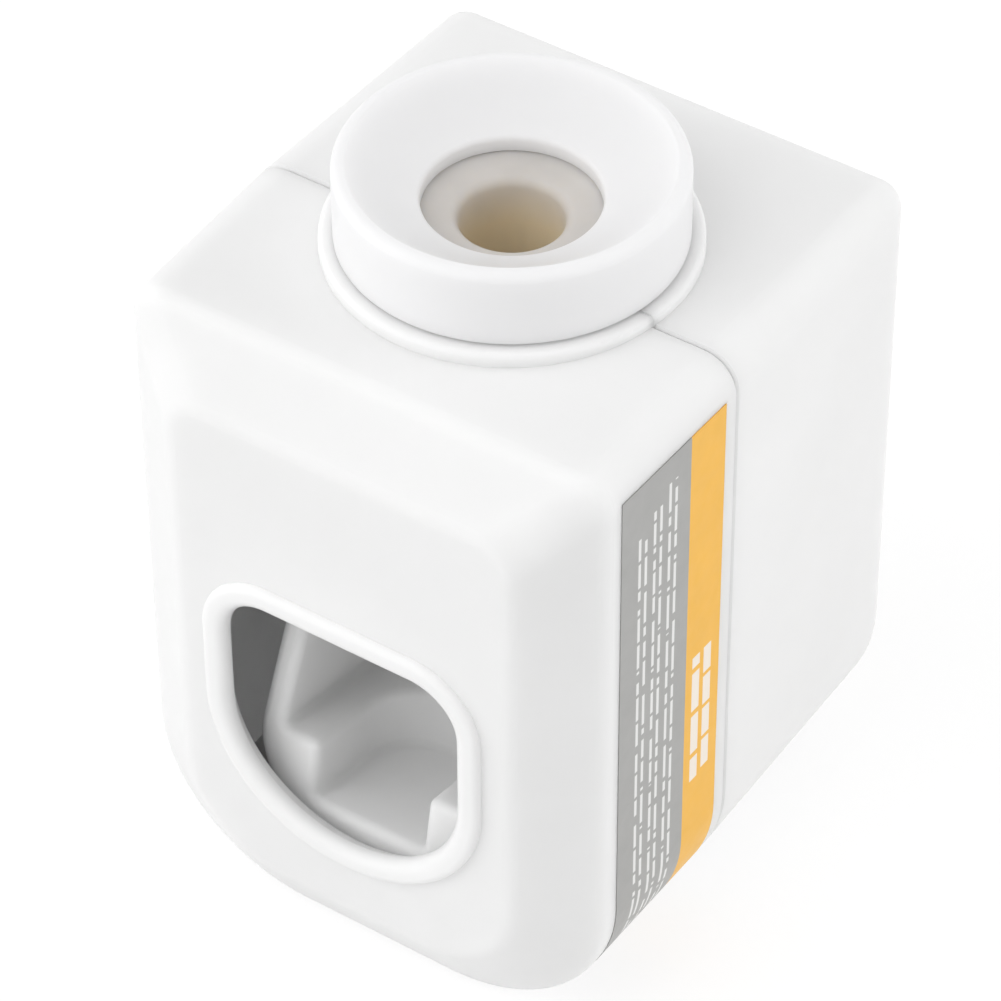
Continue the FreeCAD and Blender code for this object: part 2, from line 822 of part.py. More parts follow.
def make_return_spring(side):
    """Open coil along Y between the lever's arm and the frame's back plate."""
    axis_x, axis_z = spring_line()
    seat_y = rest_from_level(cradle_front + arm_depth, -spring_drop)[0]
    outer = spring_mean_radius + spring_wire / 2
    start = seat_y + outer * rest_sin / rest_cos + spring_wire / 2 + spring_seat_gap
    end = anvil_y - spring_wire / 2 - spring_seat_gap
    steps_per_turn = 4
    steps = spring_turns * steps_per_turn
    rise = (end - start) / steps

    def coil_point(step):
        angle = 2 * math.pi * step / steps_per_turn
        x = side * axis_x + spring_mean_radius * math.cos(angle)
        return Vector(x, start + rise * step, axis_z + spring_mean_radius * math.sin(angle))

    arcs = []
    for step in range(steps):
        points = [coil_point(step), coil_point(step + 1 / 2), coil_point(step + 1)]
        arcs.append(Part.Arc(*points).toShape())
    path = Part.Wire(arcs)
    way = arcs[0].tangentAt(arcs[0].FirstParameter)
    section = Part.Wire(Part.makeCircle(spring_wire / 2, coil_point(0), way))
    samples = [coil_point(k / 3) for k in range(3 * steps + 1)]
    far = 3 * steps_per_turn // 2
    gap = min((a - b).Length for i, a in enumerate(samples) for b in samples[i + far:]) - spring_wire
    print("return spring least gap to itself", round(gap, 2), "mm")
    return path.makePipeShell([section], True, False)


# Brush lever


def rounded_path(points, radii):
    """Closed wire through the points, with a tangent arc of the given radius at each corner."""
    edges = []
    count = len(points)
    ends = []
    for index, corner in enumerate(points):
        before = (points[index - 1] - corner).normalize()
        after = (points[(index + 1) % count] - corner).normalize()
        half_angle = before.getAngle(after) / 2
        run = radii[index] / math.tan(half_angle)
        start = corner + before * run
        end = corner + after * run
        if radii[index] > 0:
            inward = (before + after).normalize()
            middle = corner + inward * (radii[index] / math.sin(half_angle) - radii[index])
            edges.append(Part.Arc(start, middle, end).toShape())
        ends.append((start, end))
    for index in range(count):
        edges.append(line(ends[index][1], ends[(index + 1) % count][0]))
    return Part.Wire(Part.__sortEdges__(edges))


def cradle_outline(back):
    """Front view of cradle and arms: leaning cheeks, a round-cornered bottom, open top."""
    top = ledge_level + cheek_lean_height
    low_half = cheek_half_width + cheek_lean * (ledge_level - cradle_bottom) / cheek_lean_height
    half_points = [(arm_half_width, 0, 0), (arm_half_width, top, cheek_bend_radius),
                   (low_half, cradle_bottom, cradle_corner_radius)]
    points = [Vector(x, back, up) for x, up, radius in half_points]
    points += [Vector(-x, back, up) for x, up, radius in reversed(half_points)]
    radii = [radius for x, up, radius in half_points]
    return rounded_path(points, radii + radii[::-1])


def cheek_hollow():
    """Channel between the cheeks above the ledges, which stops at the back wall."""
    hollow_end = cradle_back - cradle_back_wall
    back_top = ledge_level + cradle_back_height
    above_back_wall = box(-body_width, body_width, hollow_end, cradle_back + overrun, back_top, 0)
    hollow = channel(cradle_front - overrun, hollow_end)
    return hollow.fuse(channel(hollow_end, cradle_back + overrun).common(above_back_wall))


def channel(start, end):
    """Space between the leaning cheeks, over the ledges, from start to end."""
    top = ledge_level + cheek_lean_height
    right = [(cheek_inner, ledge_level), (arm_inner, top), (arm_inner, top + overrun)]
    points = [Vector(x, start, up) for x, up in right]
    points += [Vector(-x, start, up) for x, up in reversed(right)]
    return outline_face(points).extrude(Vector(0, end - start, 0))


def brush_slot():
    """Slot for the brush head between the ledges, with a half-round back end."""
    end_centre = cradle_front + slot_length - slot_half_width
    slot = box(-slot_half_width, slot_half_width, cradle_front - overrun, end_centre,
               floor_level, ledge_level + overrun)
    end = rod_z(slot_half_width, 0, end_centre, floor_level, ledge_level + overrun)
    return slot.fuse(end)


def cheek_side_outline():
    """Side view of lever: deep at the cradle, drawn in by a hollow curve to the arms."""
    arm_back = cradle_front + arm_depth
    back_top = ledge_level + cradle_back_height
    curve_top = ledge_level + cheek_lean_height + arm_depth
    front_low = Vector(0, cradle_front, cradle_bottom)
    back_low = Vector(0, cradle_back, cradle_bottom)
    back_high = Vector(0, cradle_back, back_top)
    arm_start = Vector(0, arm_back, curve_top)
    front_high = Vector(0, cradle_front, curve_top)
    middle_back = cradle_back - (cradle_back - arm_back) * cheek_hollow_share
    middle_up = curve_top - (curve_top - back_top) * cheek_hollow_share
    middle = Vector(0, middle_back, middle_up)
    curve = Part.Arc(back_high, middle, arm_start).toShape()
    return Part.Wire([
        line(front_low, back_low), line(back_low, back_high), curve,
        line(arm_start, front_high), line(front_high, front_low),
    ])


def make_brush_lever():
    """Lever built level about the pivot at the origin, then turned to its rest position."""
    boss = rod_x(arm_boss_radius, arm_inner, arm_half_width + arm_boss_proud, 0, 0)
    web_low = -nose_drop - web_under_nose
    web_high = -nose_drop + web_over_nose
    web = box(-arm_inner, arm_inner, -web_thickness / 2, web_thickness / 2, web_low, web_high)
    nose_half = arm_inner - nose_side_gap
    nose_end = nose_back - nose_radius
    nose = box(-nose_half, nose_half, 0, nose_end, -nose_drop - nose_radius, -nose_drop + nose_radius)
    tip = rod_x(nose_radius, -nose_half, nose_half, nose_end, -nose_drop)
    peg_radius = spring_mean_radius - spring_wire / 2 - spring_peg_gap
    arm_back = cradle_front + arm_depth
    peg_x = spring_line()[0]
    peg = rod_y(peg_radius, peg_x, arm_back, arm_back + spring_peg_length, -spring_drop)
    solid = fused([cradle_with_arms(), web, nose, tip] + both_sides(boss) + both_sides(peg))
    solid = solid.cut(rod_x(pin_radius + pin_running_gap, -body_width, body_width, 0, 0))
    solid.rotate(Vector(0, 0, 0), Vector(1, 0, 0), -lever_rest_deg)
    solid.translate(Vector(0, pivot_y, pivot_z))
    return solid


def cradle_with_arms():
    """Stepped channel for the brush between cheeks that run up into the arms."""
    top = ledge_level + cheek_lean_height
    arm_back = cradle_front + arm_depth
    block = Part.Face(cradle_outline(cradle_front)).extrude(Vector(0, cradle_depth, 0))
    side = Part.Face(cheek_side_outline()).extrude(Vector(body_width, 0, 0))
    side.translate(Vector(-half_width, 0, 0))
    side = side.fuse(box(-half_width, half_width, cradle_front, arm_back, top, 0))
    gap = box(-arm_inner, arm_inner, cradle_front - overrun, cradle_back + overrun, top, overrun)
    return rounded_cradle(block.common(side).cut([cheek_hollow(), brush_slot(), gap]).removeSplitter())


def rounded_cradle(solid):
    """Soft moulded edges: along the slot and the ledges first, then round the front mouth."""
    in_front = in_plane_y(cradle_front)
    below_floor = floor_level - cradle_floor / 2

    def at_level(point, level):
        return abs(point.z - level) < nearness

    def slot_edges_at(level):
        found = edges_where(solid, lambda point: at_level(point, level)
                            and abs(point.x) < slot_half_width + nearness)
        return [edge for edge in found if not all(in_front(vertex.Point) for vertex in edge.Vertexes)]

    def ledge_corners():
        found = edges_where(solid, lambda point: at_level(point, ledge_level)
                            and abs(abs(point.x) - cheek_inner) < nearness)
        return [edge for edge in found if edge.Vertexes[0].Point.x * edge.Vertexes[-1].Point.x > 0]

    def inner_mouth(point):
        return abs(point.x) < cheek_inner + nearness and point.z > floor_level - nearness

    def outer_mouth(point):
        return abs(point.x) > arm_half_width - nearness or point.z < below_floor

    def at_arm_tops(edge):
        return all(at_level(vertex.Point, 0) for vertex in edge.Vertexes)

    solid = solid.makeFillet(slot_edge_round, slot_edges_at(ledge_level))
    solid = solid.makeFillet(slot_corner_round, slot_edges_at(floor_level))
    solid = solid.makeFillet(slot_corner_round, ledge_corners())
    inner = edges_where(solid, lambda point: in_front(point) and inner_mouth(point))
    solid = solid.makeFillet(mouth_round, [edge for edge in inner if not at_arm_tops(edge)])
    outer = edges_where(solid, lambda point: in_front(point) and outer_mouth(point))
    return solid.makeFillet(mouth_round, outer)


def main():
    os.makedirs("parts", exist_ok=True)
    save("front_cover", [make_front_cover()])
    save("rear_cover", [make_rear_cover()])
    save("side_label", [make_side_label()])
    save("cover_screws", make_cover_screws())
    save("top_ring", [make_top_ring()])
    save("tube_seal", [make_tube_seal()])
    save("inlet_valve_plate", [make_inlet_valve_plate()])
    save("inlet_flap", [make_inlet_flap()])
    save("pump_bulb", [make_pump_bulb()])
    save("outlet_spout", [make_outlet_spout()])
    save("bulb_clamp", [make_bulb_clamp()])
    save("outlet_valve", [make_outlet_valve()])
    save("pump_frame", [make_pump_frame()])
    save("frame_screws", make_frame_screws())
    save("pivot_pin", [make_pivot_pin()])
    save("pin_clips", make_pin_clips())
    save("return_spring_left", [make_return_spring(-1)])
    save("return_spring_right", [make_return_spring(1)])
    save("brush_lever", [make_brush_lever()])


main()
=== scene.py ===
import math

import bmesh
import bpy
from mathutils import Matrix, Vector


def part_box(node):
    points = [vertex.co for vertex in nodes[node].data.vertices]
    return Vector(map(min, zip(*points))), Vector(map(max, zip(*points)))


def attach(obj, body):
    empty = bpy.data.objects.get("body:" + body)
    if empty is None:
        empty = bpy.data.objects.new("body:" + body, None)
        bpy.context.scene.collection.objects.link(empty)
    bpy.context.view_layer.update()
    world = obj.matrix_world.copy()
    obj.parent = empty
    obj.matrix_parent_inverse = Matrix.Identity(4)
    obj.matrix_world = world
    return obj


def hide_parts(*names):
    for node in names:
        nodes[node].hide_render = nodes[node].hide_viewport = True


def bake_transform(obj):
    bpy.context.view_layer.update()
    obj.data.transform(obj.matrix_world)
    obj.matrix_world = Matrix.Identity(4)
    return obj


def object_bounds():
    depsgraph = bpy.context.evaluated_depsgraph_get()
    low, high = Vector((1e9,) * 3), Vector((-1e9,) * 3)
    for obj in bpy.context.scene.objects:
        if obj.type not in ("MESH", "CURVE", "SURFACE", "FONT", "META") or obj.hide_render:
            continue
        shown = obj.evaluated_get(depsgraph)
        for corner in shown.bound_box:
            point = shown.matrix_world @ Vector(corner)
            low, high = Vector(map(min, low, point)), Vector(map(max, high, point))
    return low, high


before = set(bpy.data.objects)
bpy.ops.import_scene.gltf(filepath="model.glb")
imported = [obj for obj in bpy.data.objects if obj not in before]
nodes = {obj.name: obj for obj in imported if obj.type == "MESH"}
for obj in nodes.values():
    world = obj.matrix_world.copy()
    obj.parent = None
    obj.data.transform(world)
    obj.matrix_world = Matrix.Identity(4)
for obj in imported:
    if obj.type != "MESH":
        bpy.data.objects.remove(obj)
cad_low, cad_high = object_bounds()

MM = 0.001
UP = Vector((0, 0, 1))
NECK = Vector((0, (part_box("top_ring")[0].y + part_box("top_ring")[1].y) / 2, 0))

# Camera, solved from the photograph
CAMERA_TARGET = Vector((0, 0.5, 44.67)) * MM
CAMERA_AZIMUTH = math.radians(34.126)
CAMERA_ELEVATION = math.radians(42.887)
CAMERA_ROLL = math.radians(-0.251)
CAMERA_DISTANCE = 607.99 * MM
CAMERA_LENS = 185.32
CAMERA_SENSOR = 36.0
CAMERA_SHIFT = (-0.0128, 0.0270)
CAMERA_CLIP = (0.01, 20)

# Studio light: place, size of the soft panel, power in watts
PANELS = {
    "overhead_panel": ((-0.35, -0.75, 1.05), 1.0, 5.6),
    "front_left_panel": ((-1.10, -0.72, 0.42), 0.9, 3.5),
    "right_rear_panel": ((1.08, 0.68, 0.38), 0.9, 5.8),
}
AMBIENT = 0.677
FLOOR_SIZE = 6.0
FLOOR_GLOW = 0.80
FLOOR_SHADE = 0.24
FLOOR_BOUNCE = 0.86

# Soft seal for the tube's neck, in mm, heights from its bottom
SEAL_BORE = 6.05
SEAL_WALL = 2.1
SEAL_THROAT = 10.4
SEAL_SEAT = 14.0
SEAL_FLANGE = 2.75
SEAL_MOUTH = 10.3
SEAL_MOUTH_EDGE = 12.65
SEAL_LIP = 12.0
# Share of the lip's height where the warm light painted in the bore is full
SEAL_PAINTED_LIGHT_SHARE = 0.5
FOOT_RADIUS = 12.5
FOOT = 1.6

# Flap under the valve plate, in mm
FLAP_DISC = 0.8
FLAP_STEM = 1.1
FLAP_DROOP = 0.05
FLAP_LIP = 0.3
FLAP_FILLET = (0.4, 0.5)
FLAP_AXIS = 0.02

# Pump chamber, in mm: its flange with the collar, and its body
BULB_RADIUS = 9.4
BULB_WALL = 1.7
BULB_FLANGE = 1.8
BULB_NECK = 5.2
BULB_NECK_LENGTH = 4.6
BULB_CONE = 6.0
COLLAR_LENGTH = 3.0
COLLAR_WALL = 0.6
COLLAR_STEP = 0.8
CHAMBER_GAP = 0.1
CHAMBER_LIP = 1.2
CHAMBER_DROP = 1.2
CHAMBER_SHOULDER = 1.0
CHAMBER_BELLY = 3.0

# Duckbill on the spout, in mm, lengths from the spout's mouth
SPOUT_RADIUS = 4.1
SPOUT_BORE = 2.3
SPOUT_BARB = 3.5
SPOUT_LEAN = 50.0
SPOUT_MOUTH = (-5.628, 38.908)
DUCKBILL_LENGTH = 6.0
DUCKBILL_WALL = 1.0
DUCKBILL_TIP = 2.0
DUCKBILL_SLEEVE = 2.8
DUCKBILL_TAPER = 0.25
DUCKBILL_ROUND = 0.3
DUCKBILL_BEND = 0.6
DUCKBILL_STEPS = 10
LIP_ROUND = 0.35
LIP_EDGE = 0.55
SLIT = 0.12
SLIT_EDGE = 0.9
SLIT_DEPTH = 0.8
THROAT_SHARE = 0.45
SEAT_GAP = 0.05

# Springs, in mm: the closed pitch is in wire radii
SPRING_TURNS = 9
SPRING_CLOSED_TURNS = 1
SPRING_RADIUS = 1.75
SPRING_WIRE = 0.6
CLOSED_PITCH = 2.1
COIL_STEPS = 28
WIRE_SIDES = 12

# Screws, in mm: head radius, head height, shank radius and length
COVER_SCREW = (2.75, 2.0, 1.5, 10.0)
FRAME_SCREW = (2.2, 1.6, 1.2, 8.0)
LOW_COLUMN_SHARE = 0.6

# Shape of a screw, in shares of its own sizes
HEAD_PROFILE = ((0.0, 1.0), (0.55, 0.96), (0.85, 0.7), (1.0, 0.3), (1.0, 0.0))
SHANK_COLLAR = 1.02
SHANK_PLAIN = 0.5
SHANK_POINT = 0.9
THREAD_CORE = 0.76
THREAD_PITCH = 0.72
THREAD_PLACES = (0.3, 0.6, 0.9)
RECESS_ARM = 0.58
RECESS_BLADE = 0.17
RECESS_DEPTH = 0.7
RECESS_LIFT = 1.1
RECESS_TAPER = 0.5

# Sides of the round meshes, and the angle past which a screw's edges stay sharp
FINE_SIDES = 128
PLAIN_SIDES = 64
SCREW_SIDES = 40
SCREW_SHARP = math.radians(35)

# Print on the label, in mm: middle, width, lowest and highest place, and two dash lengths
LABEL_BOUNDARY = -12.5
LABEL_RULES = (
    (-22.3, 0.5, 10, 77, 11.3, 4.1),
    (-21.1, 0.5, 10, 77, 7.7, 5.3),
    (-19.4, 0.5, 10, 79, 9.1, 3.7),
    (-18.2, 0.5, 10, 79, 6.7, 4.7),
    (-16.5, 0.5, 10, 81, 8.3, 5.9),
    (-15.3, 0.5, 10, 81, 10.1, 4.3),
    (-10.4, 1.5, 30, 50, 30.0, 6.9),
    (-8.1, 1.5, 30, 50, 30.0, 5.1),
)
DASH_SHARE = 0.88
INK_COVER = 0.8

# Colours, linear
WHITE_COVER = (0.885, 0.885, 0.883)
WHITE_REAR = (0.88, 0.88, 0.878)
WHITE_RING = (0.885, 0.883, 0.89)
WHITE_LEVER = (0.89, 0.89, 0.888)
WHITE_INNER = (0.80, 0.80, 0.79)
SEAL_GREY = (0.62, 0.59, 0.56)
# Warm light painted deep in the seal's bore, lighter than the silicone's own grey
SEAL_PAINTED_LIGHT = (0.80, 0.68, 0.49)
PUMP_MILKY = (0.70, 0.68, 0.64)
LABEL_GREY = (0.393, 0.391, 0.382)
LABEL_AMBER = (0.90, 0.495, 0.073)
LABEL_INK = (0.90, 0.90, 0.89)
STEEL = (0.55, 0.55, 0.56)
SPRING_STEEL = (0.48, 0.48, 0.50)

# How much light seeps through the white walls, and how deep it goes in metres
COVER_GLOW = 0.9
RING_GLOW = 0.45
WALL_SEEP = 0.0027

# Roughness of each finish
COVER_ROUGHNESS = 0.34
RING_ROUGHNESS = 0.33
LEVER_ROUGHNESS = 0.42
INNER_ROUGHNESS = 0.5
STEEL_ROUGHNESS = 0.36
SPRING_ROUGHNESS = 0.35
SILICONE_ROUGHNESS = (0.36, 0.50)
LABEL_ROUGHNESS = (0.38, 0.48)

# Patterns: noise scale per metre, bump height in metres
NOISE_ENDS = (0.3, 0.7)
FLOW_SCALE = 38.0
GLOSS_SCALE = 420.0
GLOSS_SPREAD = 0.04
GRAIN_SCALE = 2600.0
GRAIN_HEIGHT = 0.00004
BLOOM_SCALE = 130.0
BLOOM_ENDS = (0.35, 0.7)
SKIN_SCALE = 900.0
SKIN_GRAIN_SCALE = 1500.0
SKIN_HEIGHT = 0.00005
MARK_SCALE = 5200.0
MARK_HEIGHT = 0.00002
STEEL_GLOSS_SCALE = 1800.0
MOTTLE_SCALE = 260.0
FILM_GLOSS_SCALE = 700.0
FILM_GRAIN_SCALE = 900.0
FILM_HEIGHT = 0.00003


# Camera, light and floor


def add_camera():
    back = Vector((
        math.sin(CAMERA_AZIMUTH) * math.cos(CAMERA_ELEVATION),
        -math.cos(CAMERA_AZIMUTH) * math.cos(CAMERA_ELEVATION),
        math.sin(CAMERA_ELEVATION),
    ))
    right = Vector((math.cos(CAMERA_AZIMUTH), math.sin(CAMERA_AZIMUTH), 0))
    up = back.cross(right)
    turned_right = right * math.cos(CAMERA_ROLL) + up * math.sin(CAMERA_ROLL)
    turned_up = up * math.cos(CAMERA_ROLL) - right * math.sin(CAMERA_ROLL)
    camera = bpy.data.cameras.new("photo_camera")
    camera.sensor_width = CAMERA_SENSOR
    camera.lens = CAMERA_LENS
    camera.shift_x, camera.shift_y = CAMERA_SHIFT
    camera.clip_start, camera.clip_end = CAMERA_CLIP
    holder = bpy.data.objects.new("photo_camera", camera)
    turn = Matrix((turned_right, turned_up, back)).transposed()
    holder.matrix_world = Matrix.Translation(CAMERA_TARGET + back * CAMERA_DISTANCE) @ turn.to_4x4()
    bpy.context.scene.collection.objects.link(holder)
    bpy.context.scene.camera = holder


def seen_directly(tree):
    """Socket that is 1 for camera, glossy and transmission rays."""
    path = tree.nodes.new("ShaderNodeLightPath")
    first = tree.nodes.new("ShaderNodeMath")
    first.operation = "MAXIMUM"
    tree.links.new(path.outputs["Is Camera Ray"], first.inputs[0])
    tree.links.new(path.outputs["Is Glossy Ray"], first.inputs[1])
    second = tree.nodes.new("ShaderNodeMath")
    second.operation = "MAXIMUM"
    tree.links.new(first.outputs[0], second.inputs[0])
    tree.links.new(path.outputs["Is Transmission Ray"], second.inputs[1])
    return second.outputs[0]


def add_world():
    world = bpy.data.worlds.new("white_studio")
    bpy.context.scene.world = world
    world.use_nodes = True
    tree = world.node_tree
    tree.nodes.clear()
    light = tree.nodes.new("ShaderNodeBackground")
    light.inputs["Color"].default_value = (1, 1, 1, 1)
    light.inputs["Strength"].default_value = AMBIENT
    backdrop = tree.nodes.new("ShaderNodeBackground")
    backdrop.inputs["Color"].default_value = (1, 1, 1, 1)
    backdrop.inputs["Strength"].default_value = 1
    mix = tree.nodes.new("ShaderNodeMixShader")
    out = tree.nodes.new("ShaderNodeOutputWorld")
    tree.links.new(seen_directly(tree), mix.inputs[0])
    tree.links.new(light.outputs[0], mix.inputs[1])
    tree.links.new(backdrop.outputs[0], mix.inputs[2])
    tree.links.new(mix.outputs[0], out.inputs["Surface"])


def add_panels():
    for name, (place, size, power) in PANELS.items():
        lamp = bpy.data.lights.new(name, "AREA")
        lamp.shape = "SQUARE"
        lamp.size = size
        lamp.energy = power
        holder = bpy.data.objects.new(name, lamp)
        holder.location = place
        holder.rotation_euler = (CAMERA_TARGET - Vector(place)).to_track_quat("-Z", "Y").to_euler()
        # Shine comes from the white surroundings, so no panel burns out a rounded edge
        holder.visible_glossy = False
        bpy.context.scene.collection.objects.link(holder)


def add_floor():
    """White floor that stays white to the eye but keeps the object's soft shadow."""
    material = bpy.data.materials.new("studio_floor")
    material.use_nodes = True
    tree = material.node_tree
    tree.nodes.clear()
    bounce = tree.nodes.new("ShaderNodeBsdfDiffuse")
    bounce.inputs["Color"].default_value = (FLOOR_BOUNCE, FLOOR_BOUNCE, FLOOR_BOUNCE, 1)
    shade = tree.nodes.new("ShaderNodeBsdfDiffuse")
    shade.inputs["Color"].default_value = (FLOOR_SHADE, FLOOR_SHADE, FLOOR_SHADE, 1)
    glow = tree.nodes.new("ShaderNodeEmission")
    glow.inputs["Color"].default_value = (1, 1, 1, 1)
    glow.inputs["Strength"].default_value = FLOOR_GLOW
    seen = tree.nodes.new("ShaderNodeAddShader")
    mix = tree.nodes.new("ShaderNodeMixShader")
    out = tree.nodes.new("ShaderNodeOutputMaterial")
    tree.links.new(shade.outputs[0], seen.inputs[0])
    tree.links.new(glow.outputs[0], seen.inputs[1])
    tree.links.new(seen_directly(tree), mix.inputs[0])
    tree.links.new(bounce.outputs[0], mix.inputs[1])
    tree.links.new(seen.outputs[0], mix.inputs[2])
    tree.links.new(mix.outputs[0], out.inputs["Surface"])
    half = FLOOR_SIZE / 2
    corners = [(-half, -half, 0), (half, -half, 0), (half, half, 0), (-half, half, 0)]
    mesh = bpy.data.meshes.new("studio_floor")
    mesh.from_pydata(corners, [], [(0, 1, 2, 3)])
    mesh.materials.append(material)
    floor = bpy.data.objects.new("studio_floor", mesh)
    bpy.context.scene.collection.objects.link(floor)


# Finishes


class Finish:
    """A node material that starts as a principled surface on object coordinates."""

    def __init__(self, name):
        self.material = bpy.data.materials.new(name)
        self.material.use_nodes = True
        self.tree = self.material.node_tree
        self.tree.nodes.clear()
        self.surface = self.add("ShaderNodeBsdfPrincipled")
        out = self.add("ShaderNodeOutputMaterial")
        self.tree.links.new(self.surface.outputs[0], out.inputs["Surface"])
        self.place = self.add("ShaderNodeTexCoord").outputs["Object"]

    def add(self, kind, **values):
        node = self.tree.nodes.new(kind)
        for key, value in values.items():
            setattr(node, key, value)
        return node

    def put(self, socket, value):
        if isinstance(value, bpy.types.NodeSocket):
            self.tree.links.new(value, socket)
        elif isinstance(value, tuple) and len(value) == 3 and socket.type == "RGBA":
            socket.default_value = (*value, 1)
        else:
            socket.default_value = value

    def set(self, **values):
        """Fixed values and links for the surface's own sockets, named with _ for a space."""
        for key, value in values.items():
            self.put(self.surface.inputs[key.replace("_", " ")], value)

    def noise(self, scale, detail=2.0, roughness=0.5):
        node = self.add("ShaderNodeTexNoise")
        self.put(node.inputs["Vector"], self.place)
        node.inputs["Scale"].default_value = scale
        node.inputs["Detail"].default_value = detail
        node.inputs["Roughness"].default_value = roughness
        return node.outputs["Fac"]

    def ranged(self, value, low, high, to_low, to_high):
        node = self.add("ShaderNodeMapRange")
        self.put(node.inputs["Value"], value)
        ends = {"From Min": low, "From Max": high, "To Min": to_low, "To Max": to_high}
        for key, number in ends.items():
            node.inputs[key].default_value = number
        return node.outputs["Result"]

    def uneven(self, scale, low, high, detail=2.0):
        """Noise that wanders from low to high."""
        return self.ranged(self.noise(scale, detail), *NOISE_ENDS, low, high)

    def math(self, operation, first, second=0.0):
        node = self.add("ShaderNodeMath", operation=operation)
        self.put(node.inputs[0], first)
        self.put(node.inputs[1], second)
        return node.outputs[0]

    def mix(self, share, first, second):
        node = self.add("ShaderNodeMix", data_type="RGBA")
        self.put(node.inputs["Factor"], share)
        self.put(node.inputs[6], first)
        self.put(node.inputs[7], second)
        return node.outputs[2]

    def within(self, value, low, high):
        """1 between low and high, else 0."""
        above = self.math("GREATER_THAN", value, low)
        return self.math("MULTIPLY", above, self.math("LESS_THAN", value, high))

    def axes(self):
        node = self.add("ShaderNodeSeparateXYZ")
        self.put(node.inputs[0], self.place)
        return node.outputs

    def bump(self, height, strength, distance):
        node = self.add("ShaderNodeBump")
        node.inputs["Strength"].default_value = strength
        node.inputs["Distance"].default_value = distance
        self.put(node.inputs["Height"], height)
        return node.outputs[0]


def shaded(colour, factor):
    return tuple(channel * factor for channel in colour)


def moulded_plastic(name, colour, roughness, grain=0.05, flow=0.02, glow=0.0):
    """Moulded plastic: faint flow shading, uneven gloss, a fine grain, light that seeps through."""
    finish = Finish(name)
    shade = finish.uneven(FLOW_SCALE, 0.0, 1.0, detail=3.0)
    finish.set(Base_Color=finish.mix(shade, shaded(colour, 1 - flow), shaded(colour, 1 + flow)))
    finish.set(Roughness=finish.uneven(GLOSS_SCALE, roughness - GLOSS_SPREAD, roughness + GLOSS_SPREAD))
    finish.set(Normal=finish.bump(finish.noise(GRAIN_SCALE, 1.0), grain, GRAIN_HEIGHT))
    if glow:
        finish.set(Subsurface_Weight=glow, Subsurface_Scale=WALL_SEEP, Subsurface_Radius=(1.0, 1.0, 1.0))
    finish.set(IOR=1.5, Specular_IOR_Level=0.26)
    return finish.material


def painted_light_share(finish, start, full, bore):
    """Share of the painted bore light: grows from height start to height full, only inside the bore about
    the neck's axis.
    """
    x, y, z = finish.axes()
    from_axis = finish.math("SUBTRACT", y, NECK.y)
    across = finish.math("MULTIPLY", x, x)
    along = finish.math("MULTIPLY", from_axis, from_axis)
    inside = finish.math("LESS_THAN", finish.math("ADD", across, along), bore * bore)
    return finish.math("MULTIPLY", finish.ranged(z, start, full, 0.0, 1.0), inside)


def soft_silicone(name, colour, painted_bore_light=None):
    """Milky silicone rubber, a little translucent, with soft blooming on the skin.

    Painted bore light is a painted warm light colour, the heights where it starts and where it is full, and
    the bore's radius.
    """
    finish = Finish(name)
    bloom = finish.ranged(finish.noise(BLOOM_SCALE, 3.0), *BLOOM_ENDS, 0.0, 1.0)
    body = finish.mix(bloom, shaded(colour, 0.96), shaded(colour, 1.05))
    if painted_bore_light:
        painted_colour, *reach = painted_bore_light
        # Painted light: the bore turns lighter and warmer deep inside, where shade would darken it
        body = finish.mix(painted_light_share(finish, *reach), body, painted_colour)
    finish.set(Base_Color=body)
    finish.set(Roughness=finish.uneven(SKIN_SCALE, *SILICONE_ROUGHNESS))
    finish.set(Normal=finish.bump(finish.noise(SKIN_GRAIN_SCALE, 2.0), 0.06, SKIN_HEIGHT))
    finish.set(Subsurface_Weight=0.35, Subsurface_Scale=0.004, Subsurface_Radius=(1.0, 0.8, 0.55))
    finish.set(IOR=1.42)
    return finish.material


def turned_steel(name, colour, roughness):
    """Plated steel with fine drawing marks across the part."""
    finish = Finish(name)
    marks = finish.noise(MARK_SCALE, 3.0, 0.6)
    finish.set(Base_Color=finish.mix(marks, shaded(colour, 0.86), shaded(colour, 1.1)))
    finish.set(Roughness=finish.uneven(STEEL_GLOSS_SCALE, roughness - 0.06, roughness + 0.1))
    finish.set(Normal=finish.bump(marks, 0.05, MARK_HEIGHT))
    finish.set(Metallic=1.0)
    return finish.material


def label_ink(finish, y, z):
    """1 on the plain broken bars that stand where such a label has its lines of print."""
    ink = None
    for centre, width, low, high, *dashes in LABEL_RULES:
        across = finish.within(y, (centre - width / 2) * MM, (centre + width / 2) * MM)
        rule = finish.math("MULTIPLY", across, finish.within(z, low * MM, high * MM))
        for dash in dashes:
            place = finish.math("FRACT", finish.math("MULTIPLY", z, 1 / (dash * MM)))
            rule = finish.math("MULTIPLY", rule, finish.math("LESS_THAN", place, DASH_SHARE))
        ink = rule if ink is None else finish.math("MAXIMUM", ink, rule)
    return ink


def label_print():
    """Printed film with a grey and an amber band."""
    finish = Finish("label_print")
    axes = finish.axes()
    y = axes["Y"]
    is_amber = finish.math("GREATER_THAN", y, LABEL_BOUNDARY * MM)
    mottle = finish.uneven(MOTTLE_SCALE, 0.0, 1.0, detail=3.0)
    grey = finish.mix(mottle, shaded(LABEL_GREY, 0.97), shaded(LABEL_GREY, 1.03))
    amber = finish.mix(mottle, shaded(LABEL_AMBER, 0.98), shaded(LABEL_AMBER, 1.02))
    ground = finish.mix(is_amber, grey, amber)
    ink = label_ink(finish, y, axes["Z"])
    finish.set(Base_Color=finish.mix(finish.math("MULTIPLY", ink, INK_COVER), ground, LABEL_INK))
    finish.set(Roughness=finish.uneven(FILM_GLOSS_SCALE, *LABEL_ROUGHNESS))
    finish.set(Normal=finish.bump(finish.noise(FILM_GRAIN_SCALE, 2.0), 0.05, FILM_HEIGHT))
    finish.set(IOR=1.48, Specular_IOR_Level=0.3)
    return finish.material


def use(node_name, material):
    for slot in nodes[node_name].material_slots:
        slot.material = material


# Mesh helpers


